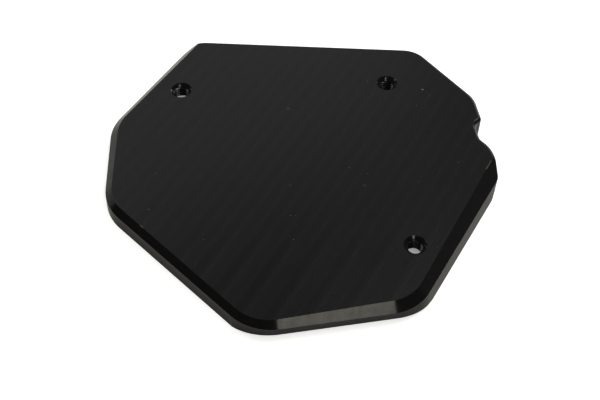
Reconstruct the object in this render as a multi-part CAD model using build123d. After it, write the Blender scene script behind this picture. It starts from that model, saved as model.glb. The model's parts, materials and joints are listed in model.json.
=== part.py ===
from build123d import *
from math import cos, radians, sin, tan
import os

# Kickstand foot enlarger: one machined plate, sizes in millimetres and degrees.
# The plan is set out from the middle of the hole pattern, with Z up and the base at Z = 0.

# Thickness: the base is level and the top face rises towards the corner hole
thickness = 7.55
top_rise_angle = 1.35
top_rise_facing = 45.0

# Tapped holes at three corners of a square
hole_pitch = 66.0
thread_diameter = 5.0
lead_in_diameter = 6.7
base_sink_diameter = 11.0
sink_half_angle = 45.0

# Straight edges of the plan: reach from the middle of the hole pattern, and outward direction
left_reach = 55.0
left_facing = 178.8
left_rear_reach = 56.6
left_rear_facing = 146.5
rear_reach = 53.1
rear_facing = 84.0
right_rear_reach = 64.1
right_rear_facing = 33.5
right_reach = 61.95
right_facing = 4.3
right_front_reach = 55.6
right_front_facing = -33.5
front_reach = 56.6
front_facing = -83.3
left_front_reach = 49.6
left_front_facing = -138.6

# Plan corner radii
left_corner_radius = 16.5
front_corner_radius = 15.0
rear_left_corner_radius = 10.0
rear_right_corner_radius = 9.0
right_front_corner_radius = 3.0

# Notch in the middle of the right edge, steep with a sharp lip at its rear and gentle at its front
notch_mouth = 12.5
notch_depth = 2.73
notch_rear_angle = 55.0
notch_front_angle = 32.0
notch_root_radius = 3.0
notch_rear_lip_radius = 1.6
notch_front_lip_radius = 10.0

# Bevelled rim: it starts at one height above the base and leans in up to the top face.
# Below it the walls are upright, but the right front one spreads out towards the base,
# where the corners at its two ends have other radii.
rim_height = 4.58
rim_lean = 45.0
right_front_spread = 0.85
spread_front_radius = 11.5
spread_rear_radius = 15.0

# Rounded edge along the top of the upright walls behind the bevelled rim
edge_round = 1.2

# Ramp under the front edge
ramp_height = 2.05
ramp_run = 6.0

# How far cutting shapes run past the faces they cut
overrun = 5.0


def toward(facing, distance):
    """The plan point at this distance from the middle of the hole pattern."""
    return Vector(distance * cos(radians(facing)), distance * sin(radians(facing)))


def corner(first_edge, second_edge):
    """The plan point where two straight edges, each a facing and a reach, would cross."""
    first_facing, first_reach = first_edge
    second_facing, second_reach = second_edge
    turn = sin(radians(second_facing - first_facing))
    first_normal = toward(first_facing, 1)
    second_normal = toward(second_facing, 1)
    x = (first_reach * second_normal.Y - second_reach * first_normal.Y) / turn
    y = (second_reach * first_normal.X - first_reach * second_normal.X) / turn
    return Vector(x, y)


left = (left_facing, left_reach)
left_rear = (left_rear_facing, left_rear_reach)
rear = (rear_facing, rear_reach)
right_rear = (right_rear_facing, right_rear_reach)
right = (right_facing, right_reach)
right_front = (right_front_facing, right_front_reach)
front = (front_facing, front_reach)
left_front = (left_front_facing, left_front_reach)


def plan_outline(spread, spread_radii):
    """The whole plan, its right front edge moved out by the spread between corners of these radii."""
    right_front_at_level = (right_front_facing, right_front_reach + spread)
    points = [
        corner(rear, left_rear),
        corner(left_rear, left),
        corner(left, left_front),
        corner(left_front, front),
        corner(front, right_front_at_level),
        corner(right_front_at_level, right),
        corner(right, right_rear),
        corner(right_rear, rear),
    ]
    radii = [
        rear_left_corner_radius,
        left_corner_radius,
        left_corner_radius,
        front_corner_radius,
        *spread_radii,
        rear_right_corner_radius,
        rear_right_corner_radius,
    ]
    return make_face(FilletPolyline(*points, radius=radii, close=True))


def upper_outline():
    """The plan from the rim's level up."""
    return plan_outline(0, (front_corner_radius, right_front_corner_radius))


def rim_outline():
    """The bevelled edges alone, with the two end ones carried on past the rear of the plate."""
    far = (rear_facing, rear_reach + hole_pitch)
    points = [
        corner(far, left_rear),
        corner(left_rear, left),
        corner(left, left_front),
        corner(left_front, front),
        corner(front, right_front),
        corner(right_front, far),
    ]
    radii = [
        0,
        left_corner_radius,
        left_corner_radius,
        front_corner_radius,
        front_corner_radius,
        0,
    ]
    return make_face(FilletPolyline(*points, radius=radii, close=True))


def top_plane():
    """Plane of the top face, facing up."""
    downhill = toward(top_rise_facing, -tan(radians(top_rise_angle)))
    return Plane((0, 0, thickness), z_dir=(downhill.X, downhill.Y, 1))


def ramp_plane():
    """Plane of the ramp under the front edge, facing up into the plate."""
    start = toward(front_facing, front_reach - ramp_run)
    inward = toward(front_facing, -ramp_height / ramp_run)
    return Plane((start.X, start.Y, 0), z_dir=(inward.X, inward.Y, 1))


def top_height(x, y):
    """Height of the top face over a plan point."""
    uphill = toward(top_rise_facing, tan(radians(top_rise_angle)))
    return thickness + Vector(x, y).dot(uphill)


def notch_cutter():
    """Cutter for the notch in the right edge, with the roundings of its lips and roots."""
    along = toward(right_facing + 90, 1)
    inward = toward(right_facing, -notch_depth)
    outward = toward(right_facing, overrun)
    middle = (corner(right_front, right) + corner(right, right_rear)) / 2
    mouth = notch_mouth / 2
    rear_floor = mouth - notch_depth / tan(radians(notch_rear_angle))
    front_floor = mouth - notch_depth / tan(radians(notch_front_angle))
    end = mouth + 1.5 * notch_front_lip_radius * tan(radians(notch_front_angle / 2))
    points = [
        middle - along * end + outward,
        middle + along * end + outward,
        middle + along * end,
        middle + along * mouth,
        middle + along * rear_floor + inward,
        middle - along * front_floor + inward,
        middle - along * mouth,
        middle - along * end,
    ]
    radii = [
        0,
        0,
        0,
        notch_rear_lip_radius,
        notch_root_radius,
        notch_root_radius,
        notch_front_lip_radius,
        0,
    ]
    profile = make_face(FilletPolyline(*points, radius=radii, close=True))
    return extrude(profile, amount=thickness + overrun)


def lower_walls():
    """Walls from the base up to the rim."""
    base_outline = plan_outline(right_front_spread, (spread_front_radius, spread_rear_radius))
    top_outline = Pos(0, 0, rim_height) * upper_outline()
    return loft([base_outline, top_outline], ruled=True) - notch_cutter()


def upper_plate():
    """Plate above the rim's level: rounded along its top edge, then cut back by the rim's lean."""
    rim_level = Pos(0, 0, rim_height)
    block = extrude(rim_level * upper_outline(), amount=thickness)
    block = split(block - notch_cutter(), bisect_by=top_plane(), keep=Keep.BOTTOM)
    top_face = block.faces().sort_by(Axis.Z)[-1]
    block = fillet(top_face.edges(), edge_round)
    lean = extrude(rim_level * rim_outline(), amount=thickness, taper=rim_lean)
    return block & lean


def hole_cutter(top):
    """Core of a tapped through hole: lead-in above, countersink below, thread between."""
    thread = thread_diameter / 2
    spread = tan(radians(sink_half_angle))
    lead_in_depth = (lead_in_diameter / 2 - thread) / spread
    sink_depth = (base_sink_diameter / 2 - thread) / spread
    profile = Polyline(
        (0, -overrun),
        (base_sink_diameter / 2 + overrun * spread, -overrun),
        (thread, sink_depth),
        (thread, top - lead_in_depth),
        (lead_in_diameter / 2 + overrun * spread, top + overrun),
        (0, top + overrun),
        close=True,
    )
    return revolve(Plane.XZ * make_face(profile), axis=Axis.Z)


def foot_plate():
    """The finished plate, still set out from the middle of the hole pattern."""
    plate = lower_walls() + upper_plate()
    plate = split(plate, bisect_by=ramp_plane(), keep=Keep.TOP)
    half_pitch = hole_pitch / 2
    for x, y in [(-half_pitch, half_pitch), (half_pitch, half_pitch), (half_pitch, -half_pitch)]:
        plate -= Pos(x, y, 0) * hole_cutter(top_height(x, y))
    return plate


plate = foot_plate()
extent = plate.bounding_box()
plate = Pos(-extent.center().X, -extent.center().Y, 0) * plate

os.makedirs("parts", exist_ok=True)
export_step(plate, "parts/foot_plate.step")
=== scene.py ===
import json
import math

import bpy
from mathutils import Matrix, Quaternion, Vector


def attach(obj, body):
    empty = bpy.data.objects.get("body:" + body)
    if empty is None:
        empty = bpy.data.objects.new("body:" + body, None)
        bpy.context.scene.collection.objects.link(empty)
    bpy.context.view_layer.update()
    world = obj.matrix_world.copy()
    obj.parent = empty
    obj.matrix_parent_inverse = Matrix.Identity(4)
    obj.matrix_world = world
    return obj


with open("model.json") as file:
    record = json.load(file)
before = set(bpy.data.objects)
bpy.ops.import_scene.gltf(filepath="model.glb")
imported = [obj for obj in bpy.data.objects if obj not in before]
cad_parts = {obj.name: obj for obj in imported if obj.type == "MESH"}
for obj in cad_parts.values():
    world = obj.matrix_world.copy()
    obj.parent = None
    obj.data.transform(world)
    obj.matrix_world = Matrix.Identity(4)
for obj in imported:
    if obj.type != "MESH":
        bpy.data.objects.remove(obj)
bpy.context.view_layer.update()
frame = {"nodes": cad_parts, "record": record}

mm = 0.001
plate = frame["nodes"]["foot_plate"]
mounts = {mount["name"]: mount for mount in frame["record"]["mounts"]}

# Picture and camera: the camera looks down at a point on the floor, and the picture is turned a little
picture_width = 600
picture_height = 400
camera_aim = Vector((-1.325, -7.446, 0)) * mm
camera_distance = 314.3 * mm
camera_elevation = 48.72
camera_heading = 6.18
camera_roll = 2.98
sensor_width = 36.0
focal_length_pixels = 1046.0
nearest_view = 0.01
farthest_view = 10

# Fine break of the arrises
arris_width = 0.1 * mm
arris_angle = 30.0
arris_steps = 2
weld_gap = 0.001 * mm
flat_face_weight = 100

# Threads cut into the holes' straight walls
thread_pitch = 0.8 * mm
thread_height = 0.43 * mm
thread_seat = 0.03 * mm
thread_crest_share = 0.25
thread_root_share = 0.125
thread_steps_round = 96
thread_steps_per_turn = 24
thread_sharp_angle = 25.0

# Face milling: parallel passes, to and fro, at an angle to the plate's length. Pale lines painted between
# passes stand for their sheen. Near the front edge every second pass is paler by a painted sheen, and this
# paleness lies a share of a pass off the lines between passes.
pass_angle = 57.1
pass_width = 4.07 * mm
pass_offset = 0.17 * mm
pass_line_width = 1.3 * mm
pass_tilt = 0.1
front_zone = (-24 * mm, -34 * mm)
front_shift = -0.2

# How level a face is, as its normal's rise, where it begins to look milled and where it does in full,
# and the same for the top face's roughness
milled_level = (0.98, 0.995)
face_level = (0.8, 0.95)

# Shade of the anodised surface, as a plain grey, and what the painted sheen of the lines between passes
# and of every second pass in the front zone, and the grain add to it
base_shade = 0.0070
painted_line_sheen = 0.0024
painted_turn_sheen = 0.0014
base_grain = 0.0014

# Gloss of the anodised surface, which is smoother on the walls and bevels than on the top face
anodised_ior = 1.38
anodised_gloss = 0.5
wall_roughness = 0.11
face_roughness = 0.14
cloud_roughness = 0.04

# Unevenness: how fine each kind is, the grain's height, and how the painted sheen lines between passes
# fade over the patches. The finest kinds have more detail, given as its levels and their strength.
grain_scale = 900
grain_height = 0.0012 * mm
cloud_scale = 45
patch_scale = 160
patch_range = (0.25, 0.75)
line_fading = (0.7, 1.3)
fine_detail = (3.0, 0.6)

# Cutter marks on the walls and the bevels: how fine they are, and how far the gloss changes with them
cutter_mark_scale = 500
cutter_mark_gloss = 0.45

# Dust, by the picture's pixels: place, size across in mm, and how pale. It fades outside its core.
speck_core = 1 / 3
dust_specks = [
    (422, 89, 0.80, 0.190),
    (416, 105, 0.60, 0.050),
    (429, 95, 0.55, 0.050),
    (367, 81, 0.60, 0.045),
    (288, 108, 1.60, 0.020),
    (148, 209, 0.65, 0.062),
    (155, 173, 0.60, 0.028),
    (203, 239, 0.60, 0.042),
    (293, 239, 0.60, 0.068),
    (290, 215, 0.60, 0.058),
    (295, 215, 0.50, 0.040),
    (290, 185, 0.80, 0.028),
    (349, 167, 0.65, 0.042),
    (364, 185, 1.60, 0.018),
    (367, 173, 0.60, 0.034),
    (399, 181, 0.60, 0.030),
    (405, 176, 0.50, 0.030),
    (418, 181, 0.65, 0.034),
    (458, 162, 0.70, 0.060),
    (437, 247, 0.60, 0.040),
]

# Worn lines, by the picture's pixels: start, end, width in mm, and how far the metal is bare. They fade
# outside their core.
streak_core = 1 / 4
worn_lines = [
    ((490.9, 160), (485.7, 168.5), 0.6, 1.0),
    ((140, 225), (142, 227), 0.6, 0.62),
]
worn_metal = (0.18, 0.15, 0.117)

# Floor, a little below the plate: its lift keeps it white to the camera where it lies open, and fades into
# a painted shade where ambient occlusion closes it in, near the plate and in the holes; the lift it shows
# in reflections fades the same way. What the base sees closer than the contact passes through it, so that
# light from below reaches the base.
floor_colour = (0.87, 0.85, 0.80)
floor_roughness = 0.9
floor_lift = 0.75
floor_lift_painted_shade_openness = (-0.18, 0.3)
floor_gloss = 0.05
floor_gloss_painted_shade_power = 3.0
floor_shade_reach = 15 * mm
floor_size = 4.0
floor_drop = 0.02 * mm
floor_contact = 0.06 * mm

# Room: its light from all round, and the stronger light below the level of the floor
room_light = 0.03
under_light = 0.5
under_rise = (-0.05, -0.2)

# Lights, by where they stand round the plate (from the camera's side, to the right), and how high
warm = (1.04, 1.0, 0.88)
neutral = (1.0, 1.0, 1.0)
light_boxes = {
    "left_key": {
        "turn": -116, "elevation": 48, "distance": 0.9,
        "size": (0.5, 0.5), "radiance": 1.8, "colour": neutral,
    },
    "right_key": {
        "turn": 116, "elevation": 62, "distance": 0.9,
        "size": (0.5, 0.5), "radiance": 4.4, "colour": neutral,
    },
    "front_box": {
        "turn": 24, "elevation": 41, "distance": 0.7,
        "size": (0.17, 0.28), "radiance": 3.8, "colour": warm,
    },
    "back_box": {
        "turn": 205, "elevation": 37, "distance": 0.9,
        "size": (0.9, 0.5), "radiance": 0.54, "colour": neutral,
    },
    "left_strip": {
        "turn": -118, "elevation": 6, "distance": 0.8,
        "size": (0.7, 0.16), "radiance": 0.5, "colour": neutral,
    },
    "right_rear_strip": {
        "turn": 149, "elevation": 17, "distance": 0.8,
        "size": (0.42, 0.38), "radiance": 1.7, "colour": neutral,
    },
    "overhead": {
        "turn": 8, "elevation": 70, "distance": 0.8,
        "size": (0.4, 0.3), "radiance": 0.3, "colour": neutral,
    },
    "right_strip": {
        "turn": 104, "elevation": 8, "distance": 0.8,
        "size": (0.5, 0.16), "radiance": 0.06, "colour": neutral,
    },
}


class Shader:
    """A node tree with short ways to add nodes and to join them."""

    def __init__(self, tree):
        self.tree = tree
        self.tree.nodes.clear()

    def add(self, kind, settings=None, **inputs):
        """A new node. Inputs are named as in Blender, with _ for a space, or numbered as input_0."""
        node = self.tree.nodes.new("ShaderNode" + kind)
        for name, value in (settings or {}).items():
            setattr(node, name, value)
        for name, value in inputs.items():
            key = int(name[6:]) if name.startswith("input_") else name.replace("_", " ")
            self.plug(value, node.inputs[key])
        return node

    def plug(self, value, socket):
        """Joins an output to a socket, or sets the socket's own value."""
        if isinstance(value, bpy.types.NodeSocket):
            self.tree.links.new(value, socket)
        else:
            socket.default_value = value

    def math(self, operation, first, second=0.0, third=0.0):
        node = self.add("Math", {"operation": operation}, input_0=first, input_1=second, input_2=third)
        return node.outputs[0]

    def vector(self, operation, first, second):
        return self.add("VectorMath", {"operation": operation}, input_0=first, input_1=second)

    def dot(self, first, second):
        return self.vector("DOT_PRODUCT", first, second).outputs["Value"]

    def distance(self, first, second):
        return self.vector("DISTANCE", first, second).outputs["Value"]

    def ramp(self, value, low, high, to_low=0.0, to_high=1.0):
        """The value's way from low to high, eased at both ends."""
        node = self.add(
            "MapRange",
            {"interpolation_type": "SMOOTHSTEP"},
            Value=value, From_Min=low, From_Max=high, To_Min=to_low, To_Max=to_high,
        )
        return node.outputs["Result"]

    def noise(self, vector, scale, detail=2.0, roughness=0.5):
        node = self.add("TexNoise", Vector=vector, Scale=scale, Detail=detail, Roughness=roughness)
        return node.outputs["Fac"]


def direction(turn, elevation):
    """From the plate towards a place at this turn from the camera's side and this elevation."""
    side = math.radians(turn - camera_heading)
    rise = math.radians(elevation)
    return Vector((math.sin(side) * math.cos(rise), -math.cos(side) * math.cos(rise), math.sin(rise)))


def camera_place():
    return camera_aim + direction(0, camera_elevation) * camera_distance


def camera_rotation():
    roll = Quaternion((0, 0, 1), math.radians(camera_roll))
    return direction(0, camera_elevation).to_track_quat("Z", "Y") @ roll


def on_top_face(pixel):
    """The point of the plate's top face that the camera sees at this pixel."""
    x, y = pixel
    sight = Vector((x + 0.5 - picture_width / 2, picture_height / 2 - y - 0.5, -focal_length_pixels))
    sight.rotate(camera_rotation())
    face = mounts["top_face"]
    start = camera_place()
    normal = Vector(face["axis"])
    reach = (Vector(face["pos_m"]) - start).dot(normal) / sight.dot(normal)
    return start + sight * reach


def speck(shader, place, pixel, size):
    """How far a point lies inside a round speck, from 0 to 1."""
    gap = shader.distance(place, on_top_face(pixel))
    return shader.ramp(gap, size / 2, speck_core * size / 2)


def streak(shader, place, start_pixel, end_pixel, width):
    """How far a point lies inside a straight streak, from 0 to 1."""
    start = on_top_face(start_pixel)
    run = on_top_face(end_pixel) - start
    from_start = shader.vector("SUBTRACT", place, start).outputs["Vector"]
    share = shader.dot(from_start, run / run.length_squared)
    share = shader.add("Clamp", Value=share, Min=0.0, Max=1.0).outputs["Result"]
    foot = shader.add("VectorMath", {"operation": "SCALE"}, input_0=run, Scale=share).outputs["Vector"]
    gap = shader.distance(from_start, foot)
    return shader.ramp(gap, width / 2, streak_core * width / 2)


def milled_passes(shader, place):
    """The face mill's passes: the line between two of them and every second one, as masks for painted
    sheen, and which way each leans.
    """
    angle = math.radians(pass_angle)
    across = shader.dot(place, (-math.sin(angle) / pass_width, math.cos(angle) / pass_width, 0))
    across = shader.math("ADD", across, pass_offset / pass_width)
    line = shader.ramp(shader.math("PINGPONG", across, 0.5), pass_line_width / pass_width, 0.0)
    lean = shader.math("PINGPONG", across, 1.0)
    turn = shader.math("SINE", shader.math("MULTIPLY_ADD", across, math.pi, front_shift * math.pi))
    return line, lean, turn


def anodised_colour(shader, place, shade, patch):
    """The grey shade, which carries the painted sheen of the passes, with the dust on it, and bare metal
    where it is worn.
    """
    for x, y, size, paleness in dust_specks:
        inside = speck(shader, place, (x, y), size * mm)
        shade = shader.math("MULTIPLY_ADD", inside, paleness, shade)
    colour = shader.add("CombineColor", input_0=shade, input_1=shade, input_2=shade).outputs["Color"]
    for start, end, width, bareness in worn_lines:
        inside = shader.math("MULTIPLY", streak(shader, place, start, end, width * mm), patch)
        inside = shader.math("MULTIPLY", inside, bareness)
        mix = shader.add(
            "Mix", {"data_type": "RGBA"}, input_0=inside, input_6=colour, input_7=(*worn_metal, 1)
        )
        colour = mix.outputs[2]
    return colour


def new_material(name):
    """An empty material and its shader."""
    material = bpy.data.materials.new(name)
    material.use_nodes = True
    return material, Shader(material.node_tree)


def anodised_material():
    """Black anodised aluminium over milled faces, with painted sheen on its passes, dust and worn spots.
    """
    material, shader = new_material("black_anodised_milled")
    place = shader.add("TexCoord").outputs["Object"]
    facing = shader.add("NewGeometry").outputs["True Normal"]
    level = shader.math("ABSOLUTE", shader.dot(facing, (0, 0, 1)))
    on_flat = shader.ramp(level, *milled_level)
    on_face = shader.ramp(level, *face_level)
    grain = shader.noise(place, grain_scale, *fine_detail)
    cloud = shader.noise(place, cloud_scale)
    patch = shader.noise(place, patch_scale)

    line, lean, turn = milled_passes(shader, place)
    line = shader.math("MULTIPLY", line, on_flat)
    line = shader.math("MULTIPLY", line, shader.ramp(patch, *patch_range, *line_fading))
    in_front = shader.math("MULTIPLY", shader.ramp(shader.dot(place, (0, 1, 0)), *front_zone), on_flat)
    # Painted sheen in the colour: pale lines between passes, and every second pass paler near the front
    shade = shader.math("MULTIPLY_ADD", line, painted_line_sheen, base_shade)
    shade = shader.math("MULTIPLY_ADD", shader.math("MULTIPLY", turn, in_front), painted_turn_sheen, shade)
    shade = shader.math("MULTIPLY_ADD", grain, base_grain, shade)
    colour = anodised_colour(shader, place, shade, patch)

    height = shader.math("MULTIPLY", lean, -pass_width * math.tan(math.radians(pass_tilt)))
    height = shader.math("MULTIPLY", height, on_flat)
    height = shader.math("MULTIPLY_ADD", grain, grain_height, height)
    bump = shader.add("Bump", Height=height, Strength=1.0, Distance=1.0)

    rough = shader.math("MULTIPLY_ADD", on_face, face_roughness, wall_roughness)
    rough = shader.math("MULTIPLY_ADD", cloud, cloud_roughness, rough)
    marks = shader.math("SUBTRACT", shader.noise(place, cutter_mark_scale, *fine_detail), 0.5)
    marks = shader.math("MULTIPLY", marks, shader.math("SUBTRACT", 1.0, on_face))
    gloss = shader.math("MULTIPLY_ADD", marks, cutter_mark_gloss, anodised_gloss)
    surface = shader.add(
        "BsdfPrincipled",
        Base_Color=colour, Roughness=rough,
        IOR=anodised_ior, Specular_IOR_Level=gloss,
        Normal=bump.outputs["Normal"],
    )
    shader.add("OutputMaterial", Surface=surface.outputs["BSDF"])
    return material


def floor_material():
    """White floor: it takes the plate's shadow, the lift keeps it white and fades as painted shade near
    the plate, and it is clear from below.
    """
    material, shader = new_material("white_floor")
    paths = shader.add("LightPath").outputs
    openness = shader.add("AmbientOcclusion", Distance=floor_shade_reach).outputs["AO"]
    # Painted shade: the floor's glow seen in reflections and by the camera fades with the ambient
    # occlusion
    mirrored = shader.math("MAXIMUM", paths["Is Glossy Ray"], paths["Is Transmission Ray"])
    mirrored = shader.math("MULTIPLY", mirrored, shader.math("POWER", openness, floor_gloss_painted_shade_power))
    in_view_painted_shade = shader.math("MULTIPLY", paths["Is Camera Ray"], shader.ramp(openness, *floor_lift_painted_shade_openness))
    strength = shader.math("MULTIPLY", in_view_painted_shade, floor_lift)
    strength = shader.math("MULTIPLY_ADD", mirrored, floor_gloss, strength)
    surface = shader.add(
        "BsdfPrincipled",
        Base_Color=(*floor_colour, 1),
        Roughness=floor_roughness, Specular_IOR_Level=0.0,
        Emission_Color=(1, 1, 1, 1), Emission_Strength=strength,
    )
    touching = shader.math("LESS_THAN", paths["Ray Length"], floor_contact)
    from_below = shader.math("MAXIMUM", shader.add("NewGeometry").outputs["Backfacing"], touching)
    clear = shader.add("BsdfTransparent")
    both = shader.add(
        "MixShader", input_0=from_below, input_1=surface.outputs["BSDF"], input_2=clear.outputs["BSDF"]
    )
    shader.add("OutputMaterial", Surface=both.outputs["Shader"])
    return material


def add_object(name, data):
    thing = bpy.data.objects.new(name, data)
    bpy.context.scene.collection.objects.link(thing)
    return thing


def mesh_object(name, points, faces, material):
    mesh = bpy.data.meshes.new(name)
    mesh.from_pydata(points, [], faces)
    mesh.materials.append(material)
    mesh.update()
    return add_object(name, mesh)


def break_arrises():
    """A narrow rounding on the plate's sharp edges."""
    weld = plate.modifiers.new("join_faces", "WELD")
    weld.merge_threshold = weld_gap
    bevel = plate.modifiers.new("arris", "BEVEL")
    bevel.width = arris_width
    bevel.segments = arris_steps
    bevel.limit_method = "ANGLE"
    bevel.angle_limit = math.radians(arris_angle)
    normals = plate.modifiers.new("flat_faces", "WEIGHTED_NORMAL")
    normals.weight = flat_face_weight


def thread_radius(turn, bore):
    """Radius of the thread's inner surface at a point of its pitch, from 0 to 1."""
    flank = (1 - thread_crest_share - thread_root_share) / 2
    if turn < thread_root_share:
        rise = 0.0
    elif turn < thread_root_share + flank:
        rise = (turn - thread_root_share) / flank
    elif turn < 1 - flank:
        rise = 1.0
    else:
        rise = (1 - turn) / flank
    return bore - thread_height * rise


def on_circle(middle, radius, share, height):
    """A point at this share of a turn round the middle, and at this height from it."""
    angle = 2 * math.pi * share
    return tuple(middle + Vector((radius * math.cos(angle), radius * math.sin(angle), height)))


def thread_points(middle, bore, length, rows):
    """The thread's inner surface, row by row from below, then its outer wall's lower and upper edge."""
    shares = [step / thread_steps_round for step in range(thread_steps_round)]
    points = []
    for row in range(rows + 1):
        rise = length * row / rows
        end_distance = min(rise, length - rise)
        for share in shares:
            radius = thread_radius((rise / thread_pitch - share) % 1.0, bore)
            radius = max(radius, bore - end_distance)
            points.append(on_circle(middle, radius, share, rise - length / 2))
    for rise in (0.0, length):
        for share in shares:
            points.append(on_circle(middle, bore + thread_seat, share, rise - length / 2))
    return points


def thread_faces(rows):
    """Faces of the thread's inner surface, its outer wall and its two ends."""
    count = thread_steps_round
    top = rows * count
    outer_low = top + count
    outer_high = outer_low + count
    faces = []
    for step in range(count):
        after = (step + 1) % count
        for row in range(rows):
            low = row * count
            high = low + count
            faces.append((low + step, high + step, high + after, low + after))
        faces.append((outer_low + step, outer_low + after, outer_high + after, outer_high + step))
        faces.append((step, after, outer_low + after, outer_low + step))
        faces.append((top + after, top + step, outer_high + step, outer_high + after))
    return faces


def thread_piece(mount_name, material):
    """A ring of screw thread in one hole, cut back by the cones at both ends of its straight wall."""
    mount = mounts[mount_name]
    bore = mount["dims"]["r_mm"] * mm
    length = mount["dims"]["length_mm"] * mm
    rows = round(length / thread_pitch * thread_steps_per_turn)
    points = thread_points(Vector(mount["pos_m"]), bore, length, rows)
    piece = mesh_object(mount_name.replace("hole", "thread"), points, thread_faces(rows), material)
    piece.data.shade_smooth()
    piece.data.set_sharp_from_angle(angle=math.radians(thread_sharp_angle))
    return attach(piece, "root")


def add_floor():
    half = floor_size / 2
    level = -floor_drop
    corners = [(-half, -half, level), (half, -half, level), (half, half, level), (-half, half, level)]
    floor = mesh_object("floor", corners, [(0, 1, 2, 3)], floor_material())


def add_light_box(name, box):
    """A rectangular soft light that faces the plate."""
    lamp = bpy.data.lights.new(name, "AREA")
    lamp.shape = "RECTANGLE"
    lamp.size, lamp.size_y = box["size"]
    lamp.energy = box["radiance"] * math.pi * lamp.size * lamp.size_y
    lamp.color = box["colour"]
    towards = direction(box["turn"], box["elevation"])
    light = add_object(name, lamp)
    light.location = towards * box["distance"]
    light.rotation_mode = "QUATERNION"
    light.rotation_quaternion = towards.to_track_quat("Z", "Y")


def add_world():
    """A dim room, lighter below the floor, and white where the camera sees it."""
    world = bpy.data.worlds.new("room")
    bpy.context.scene.world = world
    world.use_nodes = True
    shader = Shader(world.node_tree)
    rise = shader.dot(shader.add("TexCoord").outputs["Generated"], (0, 0, 1))
    strength = shader.ramp(rise, *under_rise, room_light, under_light)
    strength = shader.math("MAXIMUM", strength, shader.add("LightPath").outputs["Is Camera Ray"])
    surface = shader.add("Background", Color=(1, 1, 1, 1), Strength=strength)
    shader.add("OutputWorld", Surface=surface.outputs["Background"])


def add_camera():
    view = bpy.data.cameras.new("camera")
    view.sensor_width = sensor_width
    view.lens = sensor_width * focal_length_pixels / picture_width
    view.clip_start = nearest_view
    view.clip_end = farthest_view
    camera = add_object("camera", view)
    camera.location = camera_place()
    camera.rotation_mode = "QUATERNION"
    camera.rotation_quaternion = camera_rotation()
    bpy.context.scene.camera = camera


anodised = anodised_material()
plate.data.materials[0] = anodised
break_arrises()
for hole in ("left_rear_hole", "right_rear_hole", "right_front_hole"):
    thread_piece(hole, anodised)
add_floor()
for name, box in light_boxes.items():
    add_light_box(name, box)
add_world()
add_camera()
bpy.context.scene.view_settings.view_transform = "Standard"
